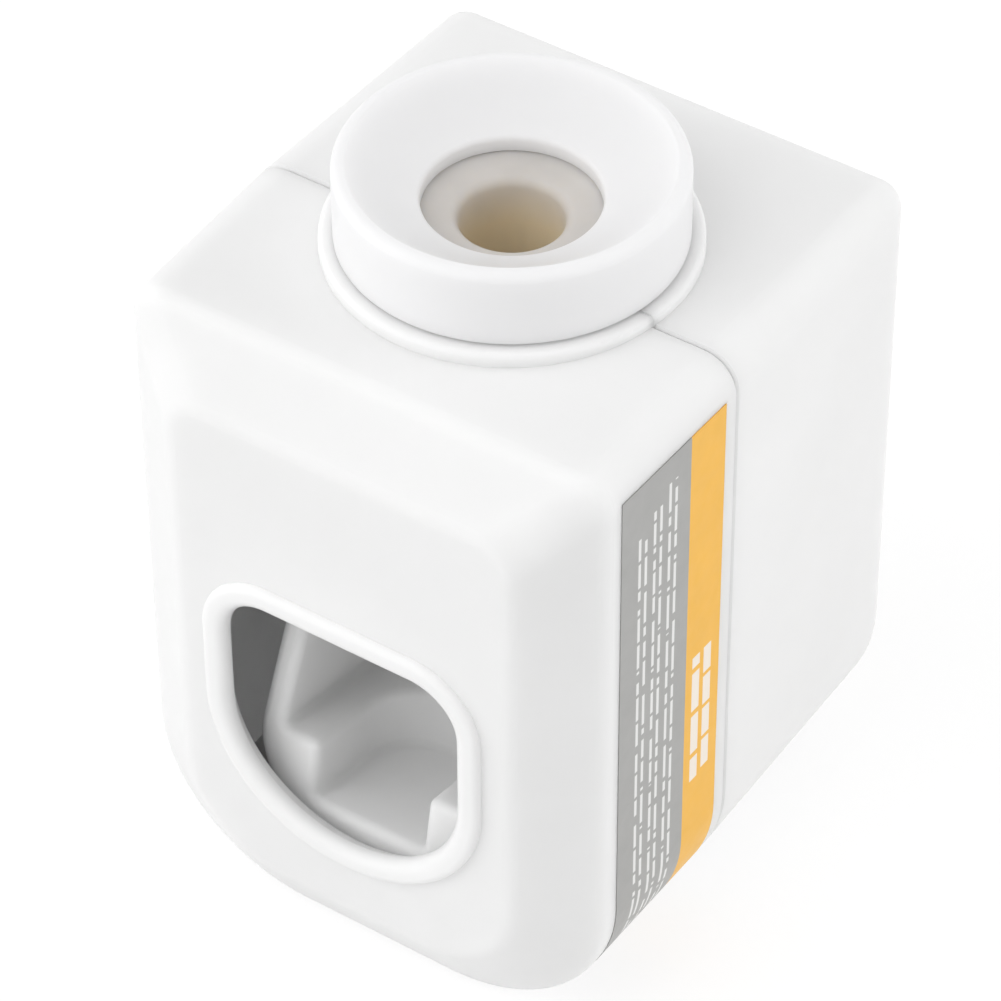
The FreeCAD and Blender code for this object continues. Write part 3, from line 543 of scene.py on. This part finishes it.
def piece(name, mesh, material, replaced):
    """A finished mesh as an object that stands for a CAD node. The caller says what it rides on."""
    mesh.materials.clear()
    mesh.materials.append(material)
    holder = bpy.data.objects.new(name, mesh)
    bpy.context.scene.collection.objects.link(holder)
    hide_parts(replaced)
    return holder


def baked(holder):
    """Plain mesh of an object with its modifiers applied. The object itself is removed."""
    bpy.context.view_layer.update()
    mesh = bpy.data.meshes.new_from_object(holder.evaluated_get(bpy.context.evaluated_depsgraph_get()))
    bpy.data.objects.remove(holder)
    return mesh


def mesh_from(maker, name):
    """Mesh of a finished bmesh, which is freed."""
    mesh = bpy.data.meshes.new(name)
    maker.to_mesh(mesh)
    maker.free()
    return mesh


def even_normals(mesh):
    """Shading that stays flat on flat faces beside small rounded edges."""
    holder = bpy.data.objects.new(mesh.name, mesh)
    bpy.context.scene.collection.objects.link(holder)
    holder.modifiers.new("even_normals", "WEIGHTED_NORMAL").weight = 90
    return baked(holder)


def closed_grid(name, rings):
    """Mesh from closed rings of equal length, where the last ring joins the first again."""
    maker = bmesh.new()
    rows = [[maker.verts.new(point) for point in ring] for ring in rings]
    for row, following in zip(rows, rows[1:] + rows[:1]):
        for index, corner in enumerate(row):
            beside = (index + 1) % len(row)
            maker.faces.new((corner, row[beside], following[beside], following[index]))
    bmesh.ops.remove_doubles(maker, verts=maker.verts, dist=0.001 * MM)
    bmesh.ops.recalc_face_normals(maker, faces=maker.faces)
    mesh = mesh_from(maker, name)
    mesh.shade_smooth()
    return mesh


def softened(corners, arc_steps=7, longest=1.2):
    """Closed profile from (radius, height, rounding) corners: rounded corners and divided runs, in mm."""
    arcs = []
    for index, (radius, height, rounding) in enumerate(corners):
        corner = Vector((radius, height))
        before = (Vector(corners[index - 1][:2]) - corner).normalized()
        after = (Vector(corners[(index + 1) % len(corners)][:2]) - corner).normalized()
        half_angle = before.angle(after) / 2
        run = rounding / math.tan(half_angle)
        centre = corner + (before + after).normalized() * (rounding / math.sin(half_angle))
        start = corner + before * run - centre
        sweep = start.angle_signed(corner + after * run - centre) if rounding else 0
        steps = arc_steps if rounding else 0
        turns = [Matrix.Rotation(-sweep * step / max(steps, 1), 2) for step in range(steps + 1)]
        arcs.append([centre + turn @ start for turn in turns])
    points = []
    for arc, following in zip(arcs, arcs[1:] + arcs[:1]):
        points += arc
        gap = following[0] - arc[-1]
        pieces = max(1, math.ceil(gap.length / longest))
        points += [arc[-1] + gap * step / pieces for step in range(1, pieces)]
    return points


def round_angles(count):
    return [2 * math.pi * step / count for step in range(count)]


def turned(name, corners, segments=FINE_SIDES):
    """Body of revolution about the neck's axis from a rounded profile in mm."""
    profile = softened(corners)
    rings = []
    for angle in round_angles(segments):
        way = Vector((math.cos(angle), math.sin(angle), 0))
        rings.append([NECK + way * point.x * MM + UP * point.y * MM for point in profile])
    return even_normals(closed_grid(name, rings))


# Soft pieces of the pump. A profile's corners are radius, height and rounding, in mm


def add_tube_seal(silicone):
    """Soft collar for the tube's neck: a sloped flange, a rounded mouth and a foot on the valve plate."""
    low, high = (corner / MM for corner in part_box("tube_seal"))
    bottom = low.z
    flange = high.x
    sleeve = SEAL_BORE + SEAL_WALL
    corners = [
        (SEAL_BORE, bottom, 0.2),
        (FOOT_RADIUS, bottom, 0.3),
        (FOOT_RADIUS, bottom + FOOT, 0.5),
        (sleeve, bottom + FOOT, 0.8),
        (sleeve, bottom + SEAL_THROAT, 1.6),
        (flange - SEAL_FLANGE, bottom + SEAL_SEAT, 0.6),
        (flange, bottom + SEAL_SEAT, 0.3),
        (flange, high.z, 0.5),
        (SEAL_MOUTH, bottom + SEAL_MOUTH_EDGE, 1.0),
        (SEAL_BORE, bottom + SEAL_LIP, 1.35),
    ]
    mesh = turned("tube_seal_collar", corners)
    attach(piece("tube_seal_collar", mesh, silicone, "tube_seal"), "housing")


def add_inlet_flap(silicone):
    """Mushroom valve: a thin disc with a drooping lip under the plate and a stem with a rounded end."""
    low, high = (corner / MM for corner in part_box("inlet_flap"))
    radius = high.x
    disc_top = low.z + FLAP_DISC
    corners = [
        (FLAP_AXIS, low.z, 0),
        (radius - FLAP_LIP, low.z + FLAP_DROOP, 0.2),
        (radius, disc_top - FLAP_DROOP, 0.2),
        (FLAP_STEM + FLAP_FILLET[0], disc_top, 0.3),
        (FLAP_STEM, disc_top + FLAP_FILLET[1], 0.2),
        (FLAP_STEM, high.z, 0.4),
        (FLAP_AXIS, high.z, 0),
    ]
    mesh = turned("inlet_flap_disc", corners, PLAIN_SIDES)
    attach(piece("inlet_flap_disc", mesh, silicone, "inlet_flap"), "housing")


def add_pump_bulb(silicone):
    """Squeeze chamber, hung from a fixed flange with a collar."""
    low, high = (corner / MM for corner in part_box("pump_bulb"))
    flange_low = high.z - BULB_FLANGE
    collar_low = flange_low - COLLAR_LENGTH
    collar_inside = BULB_RADIUS - COLLAR_WALL
    bore = BULB_RADIUS - BULB_WALL
    flange_corners = [
        (bore, high.z, 0.2),
        (high.x, high.z, 0.35),
        (high.x, flange_low, 0.5),
        (BULB_RADIUS, flange_low, 0.4),
        (BULB_RADIUS, collar_low, 0.25),
        (collar_inside, collar_low, 0.2),
        (collar_inside, flange_low - COLLAR_STEP, 0.2),
        (bore, flange_low - COLLAR_STEP, 0.2),
    ]
    mesh = turned("pump_bulb_flange", flange_corners)
    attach(piece("pump_bulb_flange", mesh, silicone, "pump_bulb"), "housing")
    skin = collar_inside - CHAMBER_GAP
    top = flange_low - CHAMBER_DROP
    belly_top = collar_low - CHAMBER_BELLY
    neck_top = low.z + BULB_NECK_LENGTH
    chamber_corners = [
        (skin - CHAMBER_LIP, top, 0.3),
        (skin, top, 0.3),
        (skin, collar_low - CHAMBER_SHOULDER, 1.5),
        (BULB_RADIUS, belly_top, 2.5),
        (BULB_RADIUS, neck_top + BULB_CONE, 3.5),
        (BULB_NECK, neck_top, 1.4),
        (BULB_NECK, low.z, 0.4),
        (SPOUT_BARB, low.z, 0.3),
        (SPOUT_BARB, neck_top, 1.0),
        (bore, neck_top + BULB_CONE, 2.5),
        (bore, belly_top, 2.0),
    ]
    mesh = turned("pump_bulb_chamber", chamber_corners)
    chamber = piece("pump_bulb_chamber", mesh, silicone, "pump_bulb")
    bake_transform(chamber)


def duckbill_rings():
    """Place along, half width and half thickness of each ring, over the sleeve and lips and back inside."""
    outer = SPOUT_RADIUS + DUCKBILL_WALL
    lip = DUCKBILL_TIP / 2
    rings = [
        (-DUCKBILL_SLEEVE, outer - DUCKBILL_TAPER, outer - DUCKBILL_TAPER),
        (-DUCKBILL_SLEEVE + DUCKBILL_ROUND, outer, outer),
        (-DUCKBILL_BEND, outer, outer),
    ]
    for step in range(1, DUCKBILL_STEPS + 1):
        share = step / DUCKBILL_STEPS
        ease = share * share * (3 - 2 * share)
        along = DUCKBILL_LENGTH * share - LIP_ROUND * (share == 1)
        rings.append((along, outer - DUCKBILL_TAPER * ease, outer + (lip - outer) * ease))
    return rings + [
        (DUCKBILL_LENGTH, outer - LIP_EDGE, lip - DUCKBILL_ROUND),
        (DUCKBILL_LENGTH, outer - SLIT_EDGE, SLIT),
        (DUCKBILL_LENGTH - SLIT_DEPTH, outer - SLIT_EDGE, SLIT),
        (DUCKBILL_LENGTH * THROAT_SHARE, SPOUT_BORE, SPOUT_BORE),
        (SEAT_GAP, SPOUT_BORE, SPOUT_BORE),
        (SEAT_GAP, SPOUT_RADIUS, SPOUT_RADIUS),
        (-DUCKBILL_SLEEVE, SPOUT_RADIUS, SPOUT_RADIUS),
    ]


def add_outlet_valve(silicone):
    """Duckbill on the spout's end: a round sleeve that narrows to two flat lips with a slit."""
    lean = math.radians(SPOUT_LEAN)
    way = Vector((0, -math.sin(lean), -math.cos(lean)))
    across = Vector((1, 0, 0))
    normal = way.cross(across)
    mouth = Vector((0, *SPOUT_MOUTH))
    loops = []
    for along, half_width, half_thick in duckbill_rings():
        centre = mouth + way * along
        loop = []
        for angle in round_angles(PLAIN_SIDES):
            side = across * half_width * math.cos(angle)
            loop.append((centre + side + normal * half_thick * math.sin(angle)) * MM)
        loops.append(loop)
    mesh = closed_grid("outlet_duckbill", loops)
    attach(piece("outlet_duckbill", mesh, silicone, "outlet_valve"), "housing")


# Springs and screws, made by geometry nodes


class Recipe:
    """A geometry node tree with named inputs."""

    def __init__(self, name):
        self.tree = bpy.data.node_groups.new(name, "GeometryNodeTree")
        self.tree.interface.new_socket("Geometry", in_out="INPUT", socket_type="NodeSocketGeometry")
        self.tree.interface.new_socket("Geometry", in_out="OUTPUT", socket_type="NodeSocketGeometry")
        self.inputs = self.tree.nodes.new("NodeGroupInput")
        self.outputs = self.tree.nodes.new("NodeGroupOutput")
        self.values = {}

    def named(self, name, kind, value):
        """A named input with its value, and the socket to link from."""
        socket = self.tree.interface.new_socket(name, in_out="INPUT", socket_type="NodeSocket" + kind)
        self.values[socket.identifier] = value
        return self.inputs.outputs[name]

    def add(self, kind, links=None, **values):
        node = self.tree.nodes.new(kind)
        for key, value in values.items():
            setattr(node, key, value)
        for key, value in (links or {}).items():
            if isinstance(value, bpy.types.NodeSocket):
                self.tree.links.new(value, node.inputs[key])
            else:
                node.inputs[key].default_value = value
        return node

    def math(self, operation, first, second=0.0):
        return self.add("ShaderNodeMath", {0: first, 1: second}, operation=operation).outputs[0]

    def span(self, value, low, high, to_low, to_high):
        """Value moved from one range to another and held at its ends."""
        links = {"Value": value, "From Min": low, "From Max": high, "To Min": to_low, "To Max": to_high}
        return self.add("ShaderNodeMapRange", links).outputs["Result"]

    def run(self, name, geometry, material):
        """Plain mesh that the tree gives, realised and with its material set."""
        whole = self.add("GeometryNodeRealizeInstances", {"Geometry": geometry}).outputs[0]
        links = {"Geometry": whole, "Material": material}
        coloured = self.add("GeometryNodeSetMaterial", links).outputs[0]
        self.tree.links.new(coloured, self.outputs.inputs[0])
        holder = bpy.data.objects.new(name, bpy.data.meshes.new(name))
        bpy.context.scene.collection.objects.link(holder)
        modifier = holder.modifiers.new(name, "NODES")
        modifier.node_group = self.tree
        for identifier, value in self.values.items():
            modifier[identifier] = value
        return baked(holder)


def spring_mesh(name, axis, start_y, end_y, material):
    """Compression spring along Y with a closed coil at each end."""
    all_turns = SPRING_TURNS + 2 * SPRING_CLOSED_TURNS
    closed = SPRING_CLOSED_TURNS
    recipe = Recipe(name)
    turns = recipe.named("Turns", "Float", all_turns)
    radius = recipe.named("Coil radius", "Float", SPRING_RADIUS * MM)
    wire = recipe.named("Wire radius", "Float", SPRING_WIRE / 2 * MM)
    length = recipe.named("Length", "Float", end_y - start_y)
    steps = recipe.named("Steps", "Int", all_turns * COIL_STEPS)
    line = recipe.add("GeometryNodeCurvePrimitiveLine").outputs["Curve"]
    points = recipe.add("GeometryNodeResampleCurve", {"Curve": line, "Count": steps}).outputs[0]
    share = recipe.add("GeometryNodeSplineParameter").outputs["Factor"]
    turn = recipe.math("MULTIPLY", share, turns)
    angle = recipe.math("MULTIPLY", turn, 2 * math.pi)
    pitch = recipe.math("MULTIPLY", wire, CLOSED_PITCH * closed)
    open_turns = recipe.math("SUBTRACT", turns, closed)
    middle = recipe.math("SUBTRACT", length, recipe.math("MULTIPLY", pitch, 2.0))
    first_rise = recipe.span(turn, 0.0, closed, 0.0, pitch)
    open_rise = recipe.span(turn, closed, open_turns, 0.0, middle)
    last_rise = recipe.span(turn, open_turns, turns, 0.0, pitch)
    rise = recipe.math("ADD", recipe.math("ADD", first_rise, open_rise), last_rise)
    side = recipe.math("MULTIPLY", recipe.math("COSINE", angle), radius)
    up = recipe.math("MULTIPLY", recipe.math("SINE", angle), radius)
    place = recipe.add("ShaderNodeCombineXYZ", {0: side, 1: rise, 2: up}).outputs[0]
    coil = recipe.add("GeometryNodeSetPosition", {"Geometry": points, "Position": place}).outputs[0]
    circle = recipe.add("GeometryNodeCurvePrimitiveCircle", {"Resolution": WIRE_SIDES, "Radius": wire})
    sweep = {"Curve": coil, "Profile Curve": circle.outputs["Curve"], "Fill Caps": True}
    swept = recipe.add("GeometryNodeCurveToMesh", sweep).outputs[0]
    smooth = recipe.add("GeometryNodeSetShadeSmooth", {"Geometry": swept}).outputs[0]
    shift = {"Geometry": smooth, "Translation": Vector((axis.x, start_y, axis.z))}
    return recipe.run(name, recipe.add("GeometryNodeTransform", shift).outputs[0], material)


def add_return_springs(steel):
    wire = SPRING_WIRE / 2 * MM
    for side in ("left", "right"):
        node_name = "return_spring_" + side
        low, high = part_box(node_name)
        axis = (low + high) / 2
        mesh = spring_mesh("coil_spring_" + side, axis, low.y + wire, high.y - wire, steel)
        coil = piece("coil_spring_" + side, mesh, steel, node_name)
        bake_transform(coil)


def screw_profile(head_radius, head_height, shank_radius, length):
    """Radius and height of a screw from the middle of its head to its point, with the seat at zero."""
    core = shank_radius * THREAD_CORE
    pitch = shank_radius * THREAD_PITCH
    plain = shank_radius * SHANK_PLAIN
    profile = [(head_radius * out, head_height * up) for out, up in HEAD_PROFILE]
    profile += [(shank_radius * SHANK_COLLAR, 0.0), (shank_radius * SHANK_COLLAR, -plain)]
    for turn in range(int((length - shank_radius * 2) / pitch)):
        for radius, place in zip((core, core, shank_radius), THREAD_PLACES):
            profile.append((radius, -plain - (turn + place) * pitch))
    return profile + [(core, -length + shank_radius * SHANK_POINT), (0.0, -length)]


def screw_blank(profile):
    """Body of revolution about Z whose ends close in one point."""
    maker = bmesh.new()
    rows = []
    for radius, z in profile:
        if radius == 0:
            rows.append([maker.verts.new((0, 0, z * MM))] * SCREW_SIDES)
            continue
        places = [(radius * math.cos(a), radius * math.sin(a), z) for a in round_angles(SCREW_SIDES)]
        rows.append([maker.verts.new(Vector(place) * MM) for place in places])
    for row, following in zip(rows, rows[1:]):
        for side in range(SCREW_SIDES):
            beside = (side + 1) % SCREW_SIDES
            corners = (row[side], following[side], following[beside], row[beside])
            maker.faces.new(dict.fromkeys(corners))
    bmesh.ops.recalc_face_normals(maker, faces=maker.faces)
    return mesh_from(maker, "screw_blank")


def cross_recess(head_radius, head_height):
    """Tapered cross that is cut into a screw's head."""
    arm = head_radius * RECESS_ARM
    blade = head_radius * RECESS_BLADE
    maker = bmesh.new()
    for width, depth in ((arm, blade), (blade, arm)):
        verts = bmesh.ops.create_cube(maker, size=2 * MM)["verts"]
        bmesh.ops.scale(maker, verts=verts, vec=(width, depth, head_height * RECESS_DEPTH))
        for vert in verts:
            if vert.co.z < 0:
                vert.co.x *= RECESS_TAPER
                vert.co.y *= RECESS_TAPER
        bmesh.ops.translate(maker, verts=verts, vec=(0, 0, head_height * RECESS_LIFT * MM))
    return mesh_from(maker, "cross_recess")


def screw_mesh(head_radius, head_height, shank_radius, length):
    """Pan-head screw along +Z with a cross recess, a thread and a cone point, its seat at height zero."""
    profile = screw_profile(head_radius, head_height, shank_radius, length)
    blank = bpy.data.objects.new("screw_blank", screw_blank(profile))
    cutter = bpy.data.objects.new("cross_recess", cross_recess(head_radius, head_height))
    for item in (blank, cutter):
        bpy.context.scene.collection.objects.link(item)
    recess = blank.modifiers.new("cross_recess", "BOOLEAN")
    recess.operation = "DIFFERENCE"
    recess.object = cutter
    recess.use_self = True
    made = baked(blank)
    bpy.data.objects.remove(cutter)
    made.shade_smooth()
    made.set_sharp_from_angle(angle=SCREW_SHARP)
    return made


def add_screws(node_name, places, seat_y, facing, sizes, steel):
    """The same screw on every place of a node, its head on the side that facing points to."""
    source = bpy.data.objects.new(node_name + "_pattern", screw_mesh(*sizes))
    bpy.context.scene.collection.objects.link(source)
    recipe = Recipe(node_name + "_pattern")
    pattern = recipe.named("Screw", "Object", source)
    turn = recipe.named("Turn", "Float", -facing * math.pi / 2)
    info = recipe.add("GeometryNodeObjectInfo", {"Object": pattern}).outputs["Geometry"]
    tilt = recipe.add("ShaderNodeCombineXYZ", {0: turn}).outputs[0]
    joined = recipe.add("GeometryNodeJoinGeometry")
    for x, z in places:
        spot = recipe.add("GeometryNodePoints", {"Count": 1, "Position": Vector((x, seat_y, z))})
        recipe.tree.links.new(spot.outputs[0], joined.inputs[0])
    links = {"Points": joined.outputs[0], "Instance": info, "Rotation": tilt}
    stood = recipe.add("GeometryNodeInstanceOnPoints", links).outputs[0]
    mesh = recipe.run(node_name + "_set", stood, steel)
    bpy.data.objects.remove(source)
    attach(piece(node_name + "_set", mesh, steel, node_name), "housing")


def add_cover_screws(steel):
    low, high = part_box("cover_screws")
    radius = COVER_SCREW[0] * MM
    seat_y = high.y - COVER_SCREW[1] * MM
    rows = ((high.x - radius, high.z - radius), (cad_high.x * LOW_COLUMN_SHARE, low.z + radius))
    places = [(sign * x, z) for x, z in rows for sign in (-1, 1)]
    add_screws("cover_screws", places, seat_y, 1, COVER_SCREW, steel)


def add_frame_screws(steel):
    low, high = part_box("frame_screws")
    inset = FRAME_SCREW[0] * MM
    seat_y = low.y + FRAME_SCREW[1] * MM
    heights = (low.z + inset, high.z - inset)
    places = [(x, z) for x in (low.x + inset, high.x - inset) for z in heights]
    add_screws("frame_screws", places, seat_y, -1, FRAME_SCREW, steel)


# The whole part


def dress_cad_nodes(steel):
    cover = moulded_plastic("front_cover_plastic", WHITE_COVER, COVER_ROUGHNESS, glow=COVER_GLOW)
    rear = moulded_plastic("rear_cover_plastic", WHITE_REAR, COVER_ROUGHNESS, glow=COVER_GLOW)
    ring = moulded_plastic("ring_gloss_plastic", WHITE_RING, RING_ROUGHNESS, flow=0.01, glow=RING_GLOW)
    cradle = moulded_plastic("cradle_plastic", WHITE_LEVER, LEVER_ROUGHNESS, grain=0.06, glow=COVER_GLOW)
    inner = moulded_plastic("frame_natural_plastic", WHITE_INNER, INNER_ROUGHNESS, grain=0.08, flow=0.03)
    use("front_cover", cover)
    use("rear_cover", rear)
    use("top_ring", ring)
    use("brush_lever", cradle)
    use("side_label", label_print())
    for name in ("pump_frame", "outlet_spout", "inlet_valve_plate", "bulb_clamp"):
        use(name, inner)
    for name in ("pivot_pin", "pin_clips"):
        use(name, steel)


def seal_silicone():
    """Grey silicone with warm light painted deep in the seal's bore."""
    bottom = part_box("tube_seal")[0].z
    start = bottom + SEAL_LIP * MM
    full = bottom + SEAL_LIP * SEAL_PAINTED_LIGHT_SHARE * MM
    bore = (SEAL_BORE + SEAL_WALL / 2) * MM
    return soft_silicone("seal_silicone", SEAL_GREY, painted_bore_light=(SEAL_PAINTED_LIGHT, start, full, bore))


def add_pieces():
    steel = turned_steel("zinc_steel", STEEL, STEEL_ROUGHNESS)
    spring_steel = turned_steel("spring_wire_steel", SPRING_STEEL, SPRING_ROUGHNESS)
    pump_silicone = soft_silicone("pump_silicone", PUMP_MILKY)
    dress_cad_nodes(steel)
    add_tube_seal(seal_silicone())
    add_inlet_flap(pump_silicone)
    add_pump_bulb(pump_silicone)
    add_outlet_valve(pump_silicone)
    add_return_springs(spring_steel)
    add_cover_screws(steel)
    add_frame_screws(steel)


add_camera()
add_world()
add_panels()
add_floor()
add_pieces()
bpy.context.scene.view_settings.view_transform = "Standard"
